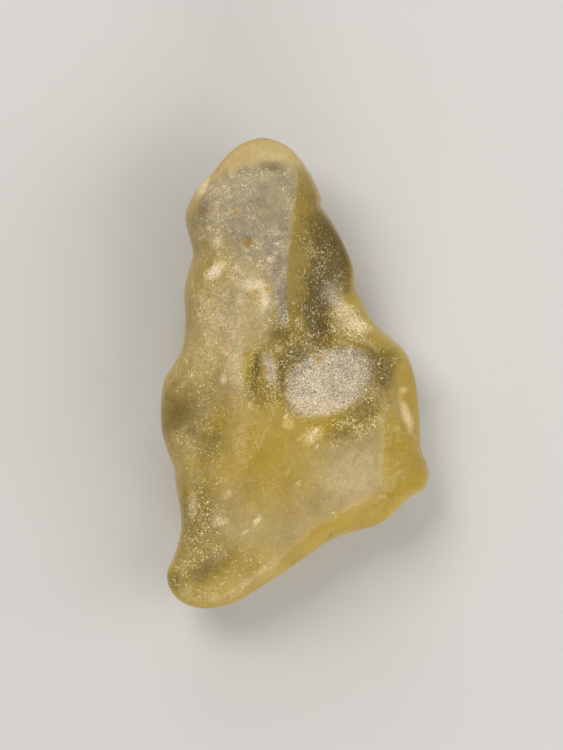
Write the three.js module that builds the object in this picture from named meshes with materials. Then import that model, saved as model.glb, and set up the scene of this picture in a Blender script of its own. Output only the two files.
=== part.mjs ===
import * as THREE from 'three';
import { mergeGeometries, mergeVertices } from 'three/addons/utils/BufferGeometryUtils.js';

// One weathered lump of yellow desert glass, lying on its worn underside with its best face up.
// Millimetres. +Y runs to the narrow end and +Z up from the surface that the lump lies on.

// Outline seen from above, counter-clockwise from the narrow end: a smooth closed curve through these points.
const OUTLINE = [
  [-3.3, 26.1], [-5.5, 25.7], [-7.4, 24.4], [-9.2, 22.2], [-10.9, 20.4], [-12, 18.4], [-12.2, 16.9],
  [-11.7, 14.9], [-11.4, 13.1], [-12, 10.9], [-12.3, 8.9], [-12.2, 6.2], [-12.5, 3.2], [-13.7, 0.8],
  [-14.6, -0.8], [-14.9, -3.3], [-14.8, -6.2], [-14.2, -8.4], [-13.5, -10.4], [-13.2, -13.1],
  [-12.8, -15.3], [-12.8, -17.6], [-13.5, -20.2], [-14.3, -22.1], [-13.9, -24], [-12.6, -25.4],
  [-10.3, -26.1], [-7.1, -25.6], [-4.4, -24.1], [-0.6, -21.7], [3.6, -18.7], [6.3, -17.6], [9.3, -16.7],
  [11.3, -15.1], [12.6, -13.8], [14.3, -12.8], [14.9, -11.3], [14.6, -9.8], [14, -8.3], [13.9, -5.6],
  [13.6, -2.4], [13.1, 0.2], [12.1, 2.6], [10.3, 4.3], [8.7, 5.8], [7.5, 7.8], [6.6, 9.7], [6.4, 11.8],
  [5.6, 13.9], [4.3, 16.4], [3.4, 17.8], [2.8, 18.6], [2.8, 19.7], [1.7, 22], [0.3, 24], [-1.1, 25.3],
];

// The outline's four turning places, as numbers of its points: its four sides run between them.
const CORNERS = { narrowLeft: 2, tail: 25, foot: 36, narrowRight: 54 };

// A face is a height over the plan: z at the place `at`, a slope per millimetre in x and y, and a bow,
// the curvature along and across a direction turned from +X by `turn` degrees.
// A lump of the upper side is the lowest of its faces, and the upper side is the highest of its lumps.
const LUMPS = {
  spire: {
    upperFace: { at: [-4.5, 18], z: 14, slope: [0.12, -0.02] },
    topCap: { at: [-2.5, 22.9], z: 14.2, slope: [0.12, -0.7], bow: [-0.06, 0] },
    rightFlute: { at: [-0.45, 16], z: 14.5, slope: [-1.4, 0.17], bow: [0.17, 0] },
    leftFace: { at: [-8, 8], z: 13.7, slope: [0.27, 0.05] },
    spireEnd: { at: [-3, 2.6], z: 13.3, slope: [-0.45, 0.4] },
  },
  crest: {
    crestRidge: { at: [-5.5, 1.2], z: 14.7, slope: [0.01, 0.095], bow: [-0.043, -0.42], turn: 84 },
  },
  knob: {
    crestKnob: { at: [-4.2, 8.6], z: 14.75, bow: [-0.18, -0.34], turn: 70 },
  },
  base: {
    lowerFace: { at: [3.5, -11], z: 11, slope: [0.02, 0.06] },
    cornerSlope: { at: [9.5, -10.5], z: 11.1, slope: [-0.8, 0.07] },
    bottomFlute: { at: [2.6, -16.6], z: 10.7, slope: [-0.66, 1], bow: [0.042, 0.06], turn: 33.5 },
    tailSlope: { at: [-5, -20.5], z: 9.9, slope: [0.06, 0.38] },
    lowerLeft: { at: [-9, -10], z: 11, slope: [0.33, 0.11] },
    baseBack: { at: [4, 0.5], z: 11.4, slope: [-0.25, -0.8] },
  },
  shoulder: {
    shoulderTop: { at: [9, 0], z: 11.3, slope: [-0.4, 0.06] },
    shoulderBack: { at: [8.5, 3.4], z: 10.9, slope: [-0.2, -0.75] },
    shoulderInside: { at: [6, 0], z: 11, slope: [0.7, 0.25] },
    shoulderEnd: { at: [10.5, -4], z: 10.8, slope: [-0.3, 0.5] },
  },
};

// Hollows worn into the upper side: it is nowhere higher than any of these.
const SCOOPS = {
  valley: { at: [2.4, 3], z: 9, bow: [0.56, 0.22], turn: 8 },
  thumbScoop: { at: [3.4, 0.2], z: 9, slope: [0.03, -0.06], bow: [0.11, 0.26], turn: 30 },
  slitPit: { at: [-2.9, 0.2], z: 10.4, bow: [1, 6], turn: 100 },
  shoulderFlute: { at: [14.6, -4.3], z: 5.8, bow: [0.22, 0.75], turn: 113 },
  rimDimple: { at: [6.6, 6.2], z: 8.2, bow: [0.6, 0.6] },
  tailGroove: { at: [-9.8, -22.4], z: 8.55, slope: [0.16, 0.16], bow: [0.07, 0.8], turn: 43 },
  topChip: { at: [-9.9, 21], z: 13.2, slope: [1.22, -0.45] },
};

// The underside is the highest of these faces, and flat where they would all go below the ground.
const UNDER_FACES = {
  underLeft: { at: [-7.2, 2], z: 0, slope: [-0.8, 0.04] },
  underTail: { at: [-5, -14], z: 0, slope: [-0.14, -0.34] },
  underBottom: { at: [2.5, -11.5], z: 0, slope: [0.32, -0.52] },
  underRight: { at: [7, -2], z: 0, slope: [0.68, 0.1] },
  underShoulder: { at: [5, 5.5], z: 0, slope: [0.55, 0.45] },
  underSpire: { at: [0.6, 12], z: 0, slope: [0.75, 0.42] },
  underTip: { at: [-4, 13], z: 0, slope: [-0.05, 0.55] },
  leftHollow: { at: [-11, -9.5], z: 4, bow: [-0.17, -0.3], turn: 80 },
  bottomHollow: { at: [6.5, -14.5], z: 3.9, bow: [-0.16, -0.24], turn: 32 },
};

// The underside lifts off the ground gently, reaching its faces' slopes over about this height.
const LIFT_OFF = 1;

// The rim, where the two sides meet, runs round the lump at about this share of its height there.
const RIM_SHARE = 0.45;
const RIM_WAVE = { length: 15, turn: 70, height: 0.12, phase: 1 };

// Each side rolls over to the rim within a width that grows with the side's distance above or below it.
const UPPER_ROLL = { width: 0.9, growth: 0.22, widest: 3 };
const UNDER_ROLL = { width: 1.2, growth: 0.5, widest: 4.5 };

// Rounding of the edges between faces, and of the seams between lumps.
const ARRIS_ROUND = 0.22;
const SEAM_ROUND = 0.4;

// Low waves worn into both sides: length, direction in degrees, height, and phase in radians.
const WAVES = [
  { length: 7.9, turn: 110, height: 0.1, phase: 4 },
  { length: 5.2, turn: 62, height: 0.07, phase: 0.4 },
  { length: 3.7, turn: -18, height: 0.035, phase: 2.1 },
];
const WAVE_BEND = 0.9;
const WAVE_BEND_LENGTH = 1.7;

// Strips of the skin across and along the lump, and how strongly they gather towards the rim, 0 to 1.
const STRIPS_ACROSS = 40;
const STRIPS_ALONG = 56;
const RIM_GATHER = 0.45;

// Straight pieces of the outline in each of its spans, for measuring the distance to the rim.
const RIM_STEPS = 16;
const WELD_DISTANCE = 1e-4;

const outlineCurve = new THREE.CatmullRomCurve3(
  OUTLINE.map(([x, y]) => new THREE.Vector3(x, y, 0)),
  true,
  'catmullrom',
  0.5,
);

// The outline's place at a point number, whole or between two points.
function outlineAt(pointNumber) {
  return outlineCurve.getPoint(pointNumber / OUTLINE.length);
}

const rimPoints = outlineCurve.getPoints(OUTLINE.length * RIM_STEPS);
const rimLines = rimPoints.slice(1).map((point, index) => new THREE.Line3(rimPoints[index], point));

function distanceToRim(point) {
  const nearest = new THREE.Vector3();
  const distances = rimLines.map((line) => {
    line.closestPointToPoint(point, true, nearest);
    return nearest.distanceTo(point);
  });
  return Math.min(...distances);
}

// A place in plan from two fractions, across and along: the blend of each pair of opposite sides, less
// the blend of the four corners, which the two together count twice.
function planPoint(across, along) {
  const { lerp } = THREE.MathUtils;
  const left = outlineAt(lerp(CORNERS.tail, CORNERS.narrowLeft, along));
  const right = outlineAt(lerp(CORNERS.foot, CORNERS.narrowRight, along));
  const lower = outlineAt(lerp(CORNERS.tail, CORNERS.foot, across));
  const upper = outlineAt(lerp(CORNERS.narrowLeft + OUTLINE.length, CORNERS.narrowRight, across));
  const lowerCorners = outlineAt(CORNERS.tail).lerp(outlineAt(CORNERS.foot), across);
  const upperCorners = outlineAt(CORNERS.narrowLeft).lerp(outlineAt(CORNERS.narrowRight), across);
  return left.lerp(right, across).add(lower.lerp(upper, along)).sub(lowerCorners.lerp(upperCorners, along));
}

// Components of a plan vector along and across a direction turned from +X.
function turned(x, y, degrees) {
  const angle = THREE.MathUtils.degToRad(degrees);
  return [
    x * Math.cos(angle) + y * Math.sin(angle),
    y * Math.cos(angle) - x * Math.sin(angle),
  ];
}

function faceHeight({ at, z, slope = [0, 0], bow = [0, 0], turn = 0 }, point) {
  const x = point.x - at[0];
  const y = point.y - at[1];
  const [along, across] = turned(x, y, turn);
  return z + slope[0] * x + slope[1] * y + (bow[0] * along ** 2 + bow[1] * across ** 2) / 2;
}

function faceHeights(faces, point) {
  return Object.values(faces).map((face) => faceHeight(face, point));
}

// The lowest of several heights, with the edges where they cross rounded off.
function softMin(heights, round) {
  const lowest = Math.min(...heights);
  const shares = heights.map((height) => Math.exp((lowest - height) / round));
  return lowest - round * Math.log(shares.reduce((sum, share) => sum + share));
}

function softMax(heights, round) {
  return -softMin(heights.map((height) => -height), round);
}

// A sine wave whose crests bend from side to side.
function waveHeight({ length, turn, height, phase }, point) {
  const [along, across] = turned(point.x, point.y, turn);
  const bend = WAVE_BEND * Math.sin((2 * Math.PI * across) / (WAVE_BEND_LENGTH * length) + 2 * phase);
  return height * Math.sin((2 * Math.PI * along) / length + phase + bend);
}

function wornWaves(point) {
  return WAVES.reduce((sum, wave) => sum + waveHeight(wave, point), 0);
}

function upperSide(point) {
  const lumps = Object.values(LUMPS).map((faces) => softMin(faceHeights(faces, point), ARRIS_ROUND));
  const body = softMax(lumps, SEAM_ROUND);
  return softMin([body, ...faceHeights(SCOOPS, point)], ARRIS_ROUND) + wornWaves(point);
}

function underSide(point) {
  const rise = Math.max(0, softMax(faceHeights(UNDER_FACES, point), SEAM_ROUND) + wornWaves(point));
  return rise ** 2 / (rise + LIFT_OFF);
}

// The height of the rim, or of the surface that carries it on over the plan.
function rimHeight(point) {
  return THREE.MathUtils.lerp(underSide(point), upperSide(point), RIM_SHARE + waveHeight(RIM_WAVE, point));
}

// A side's height rolled over to the rim on a quarter of an ellipse.
function rolledHeight(sideHeight, roll, point, rimDistance) {
  const rim = rimHeight(point);
  const rise = sideHeight(point) - rim;
  const width = Math.min(roll.width + roll.growth * Math.abs(rise), roll.widest);
  const fromRim = Math.min(rimDistance / width, 1);
  return rim + rise * Math.sqrt(1 - (1 - fromRim) ** 2);
}

// Even fractions from 0 to 1, drawn together towards both ends.
function gathered(fraction) {
  return fraction - (RIM_GATHER * Math.sin(2 * Math.PI * fraction)) / (2 * Math.PI);
}

// Corners of the skin's triangles. Each cell is split along the diagonal that runs outwards, so that no
// triangle has all of its corners on the rim.
function skinTriangles() {
  const triangles = [];
  for (let row = 0; row < STRIPS_ALONG; row += 1) {
    for (let column = 0; column < STRIPS_ACROSS; column += 1) {
      const a = row * (STRIPS_ACROSS + 1) + column;
      const b = a + 1;
      const d = a + STRIPS_ACROSS + 1;
      const c = d + 1;
      const splitAC = row < STRIPS_ALONG / 2 === column < STRIPS_ACROSS / 2;
      triangles.push(...(splitAC ? [a, b, c, a, c, d] : [a, b, d, b, c, d]));
    }
  }
  return triangles;
}

// One side's skin, from the function that gives its height and the way it rolls over to the rim.
function skin(sideHeight, roll, triangles) {
  const positions = [];
  for (let row = 0; row <= STRIPS_ALONG; row += 1) {
    for (let column = 0; column <= STRIPS_ACROSS; column += 1) {
      const point = planPoint(gathered(column / STRIPS_ACROSS), gathered(row / STRIPS_ALONG));
      const onRim = row % STRIPS_ALONG === 0 || column % STRIPS_ACROSS === 0;
      const rimDistance = onRim ? 0 : distanceToRim(point);
      positions.push(point.x, point.y, rolledHeight(sideHeight, roll, point, rimDistance));
    }
  }
  const geometry = new THREE.BufferGeometry();
  geometry.setAttribute('position', new THREE.Float32BufferAttribute(positions, 3));
  geometry.setIndex(triangles);
  return geometry;
}

// The upper and under skins, welded along the rim into one closed solid.
function desertGlassGeometry() {
  const facingUp = skinTriangles();
  const facingDown = [...facingUp].reverse();
  const skins = [skin(upperSide, UPPER_ROLL, facingUp), skin(underSide, UNDER_ROLL, facingDown)];
  const geometry = mergeVertices(mergeGeometries(skins), WELD_DISTANCE);
  geometry.computeVertexNormals();
  return geometry;
}

const desertGlassMaterial = new THREE.MeshStandardMaterial({
  color: 0xc4ad6c,
  roughness: 0.45,
  metalness: 0,
  transparent: true,
  opacity: 0.85,
});

const desertGlass = new THREE.Mesh(desertGlassGeometry(), desertGlassMaterial);
desertGlass.name = 'desert_glass';

const lump = new THREE.Group();
lump.add(desertGlass);

export default lump;
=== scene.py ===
"""One weathered lump of yellow desert glass on a pale studio floor.

The lump's skin is worked out with numpy from the same worn faces as its solid, at a finer grain, with the
pits, crusts and clear places of the real surface, the clear places darkened with painted olive shade. Sizes
are in millimetres until a mesh is written.
"""

import logging
from collections.abc import Mapping, Sequence
from dataclasses import dataclass
from enum import Enum
from typing import NamedTuple, Union

import bpy
import numpy as np
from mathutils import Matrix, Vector


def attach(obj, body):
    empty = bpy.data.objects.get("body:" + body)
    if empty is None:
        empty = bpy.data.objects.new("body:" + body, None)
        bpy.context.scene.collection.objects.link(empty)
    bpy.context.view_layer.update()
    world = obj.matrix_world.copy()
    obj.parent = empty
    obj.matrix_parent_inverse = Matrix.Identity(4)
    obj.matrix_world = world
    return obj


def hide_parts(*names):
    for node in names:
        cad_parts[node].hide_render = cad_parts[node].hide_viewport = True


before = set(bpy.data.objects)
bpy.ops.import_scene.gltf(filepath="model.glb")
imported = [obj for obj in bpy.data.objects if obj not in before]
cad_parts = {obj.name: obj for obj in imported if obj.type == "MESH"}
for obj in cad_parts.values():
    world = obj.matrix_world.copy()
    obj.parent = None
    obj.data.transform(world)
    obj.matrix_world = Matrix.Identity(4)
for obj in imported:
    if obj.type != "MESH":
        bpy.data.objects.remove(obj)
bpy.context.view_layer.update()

LOG = logging.getLogger("desert_glass")
MM = 0.001
TURN = 2 * np.pi

Array = np.ndarray
Pair = tuple[float, float]
Tint = tuple[float, float, float, float]


class Look(Enum):
    """What varies over the glass, each kept on the mesh as an attribute from 0 to 1."""

    # Frost on the worn flats, partly a painted sheen where the flats lie up to the light.
    FROST_AND_SHEEN = "frost_and_sheen"
    GRAIN = "grain"
    # Painted shade: olive laid over clear places where the eye goes down into the glass.
    SHADE = "shade"
    CHALK = "chalk"
    CLAY = "clay"


FACE_LOOKS = (Look.FROST_AND_SHEEN, Look.GRAIN, Look.SHADE, Look.CHALK)


class Worn(NamedTuple):
    """A worn side over the plan: its height, and the looks of the faces that make it there."""

    height: Array
    looks: Array


def turned(plan: Array, degrees: float) -> tuple[Array, Array]:
    """Gives the components of plan vectors along and across a direction turned from +X.

    Args:
        plan: Vectors in plan, the last axis being x and y.
        degrees: The direction's turn from +X.

    Returns:
        The component along the direction and the one across it, to its left.
    """
    angle = np.radians(degrees)
    x, y = plan[..., 0], plan[..., 1]
    return x * np.cos(angle) + y * np.sin(angle), y * np.cos(angle) - x * np.sin(angle)


def smooth_step(low: float, high: float, values: Array) -> Array:
    """Rises from 0 at low to 1 at high as three times the square less twice the cube.

    Args:
        low: Where the rise starts.
        high: Where it ends, which may be the lower number.
        values: The numbers to measure.

    Returns:
        The share of the rise at each number.
    """
    share = np.clip((values - low) / (high - low), 0, 1)
    return share * share * (3 - 2 * share)


def soft_least(heights: Array, rounding: float) -> tuple[Array, Array]:
    """Finds the lowest of several heights, with the edges where they cross rounded off.

    Each height has a term, exp of how far the lowest is below it over the rounding. The result is the
    lowest height less the rounding times the logarithm of the sum of the terms.

    Args:
        heights: One height field for each face, stacked on the first axis.
        rounding: The radius of the rounding, about.

    Returns:
        The lowest height, and each face's share of the terms.
    """
    lowest = heights.min(0)
    terms = np.exp((lowest - heights) / rounding)
    total = terms.sum(0)
    return lowest - rounding * np.log(total), terms / total


def soft_most(heights: Array, rounding: float) -> tuple[Array, Array]:
    """Finds the highest of several heights in the same way, as the lowest of their opposites.

    Args:
        heights: One height field for each lump, stacked on the first axis.
        rounding: The radius of the rounding, about.

    Returns:
        The highest height, and each lump's share.
    """
    level, shares = soft_least(-heights, rounding)
    return -level, shares


@dataclass(frozen=True)
class Face:
    """One worn face: a height over the plan, and how the glass looks on it."""

    at: Pair
    z: float
    slope: Pair = (0.0, 0.0)
    bow: Pair = (0.0, 0.0)
    turn: float = 0.0
    frost_and_sheen: float = 0.2
    grain: float = 0.3
    shade: float = 0.0
    chalk: float = 0.0

    def height(self, plan: Array) -> Array:
        """Gives z plus the slope times the offset, plus half the bow times its square along and across.

        Args:
            plan: Places in plan.

        Returns:
            The face's height over each place.
        """
        offset = plan - np.array(self.at)
        along, across = turned(offset, self.turn)
        return self.z + offset @ np.array(self.slope) + (self.bow[0] * along**2 + self.bow[1] * across**2) / 2

    def looks(self) -> tuple[float, float, float, float]:
        """Gives the face's looks, in the order of FACE_LOOKS."""
        return self.frost_and_sheen, self.grain, self.shade, self.chalk


@dataclass(frozen=True)
class Wave:
    """A low sine wave worn into the glass, whose crests bend from side to side."""

    length: float
    turn: float
    height: float
    phase: float
    bend: float = 0.9
    bend_length: float = 1.7

    def rise(self, plan: Array) -> Array:
        """Gives the sine of the way along, its phase swayed by the sine of the way across.

        Args:
            plan: Places in plan.

        Returns:
            The wave's height over each place.
        """
        along, across = turned(plan, self.turn)
        sway = self.bend * np.sin(TURN * across / (self.bend_length * self.length) + 2 * self.phase)
        return self.height * np.sin(TURN * along / self.length + self.phase + sway)


@dataclass(frozen=True)
class RoughField:
    """A smooth random field: a sum of sines in seeded directions, from long waves to short ones."""

    seed: int
    longest: float
    shortest: float
    count: int = 28

    def at(self, plan: Array) -> Array:
        """Adds the sines, each as high as the square root of its length, and scales the sum.

        Args:
            plan: Places in plan.

        Returns:
            The field, most of it from -1 to 1.
        """
        draw = np.random.default_rng(self.seed)
        angles = draw.uniform(0, TURN, self.count)
        phases = draw.uniform(0, TURN, self.count)
        lengths = np.geomspace(self.longest, self.shortest, self.count)
        heights = np.sqrt(lengths)
        steps = TURN * np.stack([np.cos(angles), np.sin(angles)]) / lengths
        return np.sin(plan @ steps + phases) @ heights / np.linalg.norm(heights)


@dataclass(frozen=True)
class Mark:
    """A small place with a look of its own: a soft oval with a ragged edge.

    A negative amount takes the look away. A depth sinks the place, and a negative depth raises it.
    """

    look: Look
    at: Pair
    reach: Pair
    turn: float = 0.0
    amount: float = 0.8
    depth: float = 0.0
    soft: float = 0.95
    ragged: float = 0.12

    def cover(self, plan: Array, edge_field: Array) -> Array:
        """Fades from 1 at the middle to 0 at the reach, by the oval distance swayed by a random field.

        Args:
            plan: Places in plan.
            edge_field: A random field over those places, which makes the edge ragged.

        Returns:
            How far the mark covers each place.
        """
        along, across = turned(plan - np.array(self.at), self.turn)
        distance = np.hypot(along / self.reach[0], across / self.reach[1])
        return smooth_step(1, 1 - self.soft, distance * (1 + self.ragged * edge_field))


@dataclass(frozen=True)
class Roll:
    """How a side rolls over to the rim: a width that grows with the side's distance from it."""

    width: float
    growth: float
    widest: float

    def share(self, rise: Array, rim_distance: Array) -> Array:
        """Gives the curve that carries a side over to the rim: the root of 1 less the cube of what is left.

        Args:
            rise: The side's height above the rim, or below it.
            rim_distance: How far in from the rim each place lies.

        Returns:
            The share of the rise that is left at each place, 0 on the rim.
        """
        width = np.minimum(self.width + self.growth * np.abs(rise), self.widest)
        return np.sqrt(1 - (1 - np.minimum(rim_distance / width, 1)) ** 3)


# Outline seen from above, counter-clockwise from the narrow end: a smooth closed curve through these points.
OUTLINE = (
    (-3.3, 26.1), (-5.5, 25.7), (-7.4, 24.4), (-9.2, 22.2), (-10.9, 20.4), (-12, 18.4), (-12.2, 16.9),
    (-11.7, 14.9), (-11.4, 13.1), (-12, 10.9), (-12.3, 8.9), (-12.2, 6.2), (-12.5, 3.2), (-13.7, 0.8),
    (-14.6, -0.8), (-14.9, -3.3), (-14.8, -6.2), (-14.2, -8.4), (-13.5, -10.4), (-13.2, -13.1),
    (-12.8, -15.3), (-12.8, -17.6), (-13.5, -20.2), (-14.3, -22.1), (-13.9, -24), (-12.6, -25.4),
    (-10.3, -26.1), (-7.1, -25.6), (-4.4, -24.1), (-0.6, -21.7), (3.6, -18.7), (6.3, -17.6), (9.3, -16.7),
    (11.3, -15.1), (12.6, -13.8), (14.3, -12.8), (14.9, -11.3), (14.6, -9.8), (14, -8.3), (13.9, -5.6),
    (13.6, -2.4), (13.1, 0.2), (12.1, 2.6), (10.3, 4.3), (8.7, 5.8), (7.5, 7.8), (6.6, 9.7), (6.4, 11.8),
    (5.6, 13.9), (4.3, 16.4), (3.4, 17.8), (2.8, 18.6), (2.8, 19.7), (1.7, 22), (0.3, 24), (-1.1, 25.3),
)

# Worn faces of each lump of the upper side: a lump is the lowest of its faces.
SPIRE = (
    Face((-4.5, 18), 14, (0.12, -0.02), frost_and_sheen=0.95, grain=0.42, shade=0.16),
    Face((-2.5, 22.9), 14.2, (0.12, -0.7), (-0.06, 0), frost_and_sheen=0.4, grain=0.2, chalk=0.14),
    Face((-0.45, 16), 14.5, (-1.4, 0.17), (0.17, 0), frost_and_sheen=0.05, grain=0.25, shade=0.42),
    Face((-8, 8), 13.7, (0.27, 0.05), frost_and_sheen=0.45, grain=0.42),
    Face((-3, 2.6), 13.3, (-0.45, 0.4), frost_and_sheen=0.05, grain=0.5, shade=0.4),
)
CREST = (Face((-5.5, 1.2), 14.7, (0.01, 0.095), (-0.043, -0.42), 84, frost_and_sheen=0.55, grain=0.22, chalk=0.05),)
KNOB = (Face((-4.2, 8.6), 14.75, bow=(-0.18, -0.34), turn=70, frost_and_sheen=0.6, grain=0.22, chalk=0.05),)
BASE = (
    Face((3.5, -11), 11, (0.02, 0.06), frost_and_sheen=0.65, grain=0.15),
    Face((9.5, -10.5), 11.1, (-0.8, 0.07), frost_and_sheen=0, grain=0.15, shade=0.08),
    Face((2.6, -16.6), 10.7, (-0.66, 1), (0.042, 0.06), 33.5, frost_and_sheen=0, grain=0.05),
    Face((-5, -20.5), 9.9, (0.06, 0.38), frost_and_sheen=0.25, grain=0.35),
    Face((-9, -10), 11, (0.33, 0.11), frost_and_sheen=0.35, grain=0.9, shade=0.15),
    Face((4, 0.5), 11.4, (-0.25, -0.8), frost_and_sheen=0.1, grain=0.8, shade=0.4),
)
SHOULDER = (
    Face((9, 0), 11.3, (-0.4, 0.06), frost_and_sheen=0.05, grain=0.6, shade=0.2),
    Face((8.5, 3.4), 10.9, (-0.2, -0.75), frost_and_sheen=0.05, grain=0.2),
    Face((6, 0), 11, (0.7, 0.25), frost_and_sheen=0.2, grain=0.8, shade=0.3),
    Face((10.5, -4), 10.8, (-0.3, 0.5), frost_and_sheen=0.05, grain=0.8, shade=0.3),
)
LUMPS = (SPIRE, CREST, KNOB, BASE, SHOULDER)

# Hollows worn into the upper side: it is nowhere higher than any of these.
SCOOPS = (
    Face((2.4, 3), 9, bow=(0.56, 0.22), turn=8, frost_and_sheen=0.15, grain=1, shade=0.3),
    Face((3.4, 0.2), 9, (0.03, -0.06), (0.11, 0.26), 30, frost_and_sheen=0.2, grain=0.85, shade=0.3),
    Face((-2.9, 0.2), 10.4, bow=(1, 6), turn=100, frost_and_sheen=0.8, grain=0.8, shade=0.1),
    Face((14.6, -4.3), 5.8, bow=(0.22, 0.75), turn=113, frost_and_sheen=0.05, grain=0.1),
    Face((6.6, 6.2), 8.2, bow=(0.6, 0.6), frost_and_sheen=0.35, grain=0.8, shade=0.1),
    Face((-9.8, -22.4), 8.55, (0.16, 0.16), (0.07, 0.8), 43, frost_and_sheen=0.2, grain=0.6, shade=0.4),
    Face((-9.9, 21), 13.2, (1.22, -0.45), frost_and_sheen=0.15, grain=0.2),
)

# The underside is the highest of these faces, and flat where they would all go below the ground.
UNDER_FACES = (
    Face((-7.2, 2), 0, (-0.8, 0.04)),
    Face((-5, -14), 0, (-0.14, -0.34)),
    Face((2.5, -11.5), 0, (0.32, -0.52)),
    Face((7, -2), 0, (0.68, 0.1)),
    Face((5, 5.5), 0, (0.55, 0.45)),
    Face((0.6, 12), 0, (0.75, 0.42)),
    Face((-4, 13), 0, (-0.05, 0.55)),
    Face((-11, -9.5), 4, bow=(-0.17, -0.3), turn=80),
    Face((6.5, -14.5), 3.9, bow=(-0.16, -0.24), turn=32),
)

WAVES = (Wave(7.9, 110, 0.1, 4), Wave(5.2, 62, 0.07, 0.4), Wave(3.7, -18, 0.035, 2.1))

# Clear places laid over with painted olive shade, where the eye goes down into the glass; the last two marks
# are thin dark streaks near the lower rim. The frosted oval of the scoop lacks the shade.
DARK_PLACES = (
    Mark(Look.SHADE, (-2.6, 22.7), (2.3, 1.2), -5, 0.5),
    Mark(Look.SHADE, (-5.7, 22.3), (1.4, 0.8), 10, 0.3),
    Mark(Look.SHADE, (-10.2, 18), (2.3, 1.4), 60, 0.45),
    Mark(Look.SHADE, (-1.4, 15.8), (1.6, 0.8), 90, 0.3),
    Mark(Look.SHADE, (-5.3, 14.5), (1.2, 0.8), 80, 0.4),
    Mark(Look.SHADE, (-1.7, 9.6), (4.6, 0.9), 94, 0.2, soft=0.6),
    Mark(Look.SHADE, (4.2, 14.1), (6.6, 3.8), -65, 0.8),
    Mark(Look.SHADE, (3, 9.6), (4.6, 3.4), -60, 0.6),
    Mark(Look.SHADE, (2.4, 6), (3.8, 2.7), -70, 0.85),
    Mark(Look.SHADE, (4, 7.6), (2.6, 1.6), -40, 0.3),
    Mark(Look.SHADE, (-0.3, 2), (3, 1.9), 35, 0.55),
    Mark(Look.SHADE, (-4.2, 0.9), (3.4, 0.85), 80, 0.65),
    Mark(Look.SHADE, (3.6, -0.85), (5.8, 3.7), 29, -0.3, soft=0.3, ragged=0.03),
    Mark(Look.SHADE, (-1.5, -0.4), (2.6, 0.6), 95, 0.5),
    Mark(Look.SHADE, (-1.8, 4.3), (2.2, 1.6), 0, 0.4),
    Mark(Look.SHADE, (9.8, 0.6), (4.4, 2.8), 100, 0.55),
    Mark(Look.SHADE, (7.4, -4), (5, 2.6), 35, 0.55),
    Mark(Look.SHADE, (4.8, -6.7), (3, 1.5), 15, 0.4),
    Mark(Look.SHADE, (-12.6, -4.3), (5, 4.2), 60, 0.74),
    Mark(Look.SHADE, (-9.4, -7.4), (3.8, 3), 0, 0.35),
    Mark(Look.SHADE, (-10, -14), (6.5, 3.6), 95, 0.2),
    Mark(Look.SHADE, (-10.4, -21.5), (4.2, 1.6), 40, 0.4),
    Mark(Look.SHADE, (-13.2, -22.8), (1.6, 1.3), 0, 0.35),
    Mark(Look.SHADE, (3.8, -17.9), (0.3, 0.14), 40, 1, soft=0.6),
    Mark(Look.SHADE, (-0.1, -20.7), (1.2, 0.25), 32, 0.4),
)

# Etched places that glitter with more painted glints than their face, and smooth ones that glitter less.
GRAIN_PATCHES = (
    Mark(Look.GRAIN, (3, 11.5), (7.5, 3.4), -70, 0.8),
    Mark(Look.GRAIN, (2.4, 6), (4, 3.4), -70, 0.6),
    Mark(Look.GRAIN, (6.6, -5.2), (5.5, 3), 30, 0.9),
    Mark(Look.GRAIN, (0.6, 2.2), (3.4, 2.2), 35, 0.3),
    Mark(Look.GRAIN, (5.8, 6.3), (3.2, 2), -40, 0.5),
    Mark(Look.GRAIN, (-13, -4), (3.2, 2.4), 80, -0.6),
    Mark(Look.GRAIN, (-2.4, 18.6), (5.6, 1.9), 92, -0.34),
)

# Places where the frost and its painted sheen go further than their face, or are worn off it.
FROST_AND_SHEEN_PATCHES = (
    Mark(Look.FROST_AND_SHEEN, (-1.9, 12.3), (4.8, 1.2), 94, 0.6, soft=0.35),
    Mark(Look.FROST_AND_SHEEN, (-1.6, 8), (3.4, 0.75), 95, 0.9, soft=0.35),
    Mark(Look.FROST_AND_SHEEN, (-3.6, -2.8), (2.8, 1.8), 0, -0.9),
    Mark(Look.FROST_AND_SHEEN, (-8.5, 12), (5.5, 4.6), 0, -0.35),
    Mark(Look.FROST_AND_SHEEN, (-4.3, 0.2), (3.8, 1.9), 90, -0.9, soft=0.7),
    Mark(Look.FROST_AND_SHEEN, (-1.6, -0.4), (2.8, 0.7), 95, -0.8, soft=0.7),
    Mark(Look.FROST_AND_SHEEN, (-2.8, 0.5), (2.1, 0.9), 97, 0.9, soft=0.6),
    Mark(Look.FROST_AND_SHEEN, (3.6, -0.85), (5.8, 3.7), 29, 0.85, soft=0.22, ragged=0.03),
    Mark(Look.FROST_AND_SHEEN, (1.1, 2), (3.2, 1.9), 35, 0.35),
    Mark(Look.FROST_AND_SHEEN, (-3.2, -9), (9, 10), 10, -0.55),
    Mark(Look.FROST_AND_SHEEN, (4.6, -5.4), (7, 3.2), 12, -0.6),
)
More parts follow.
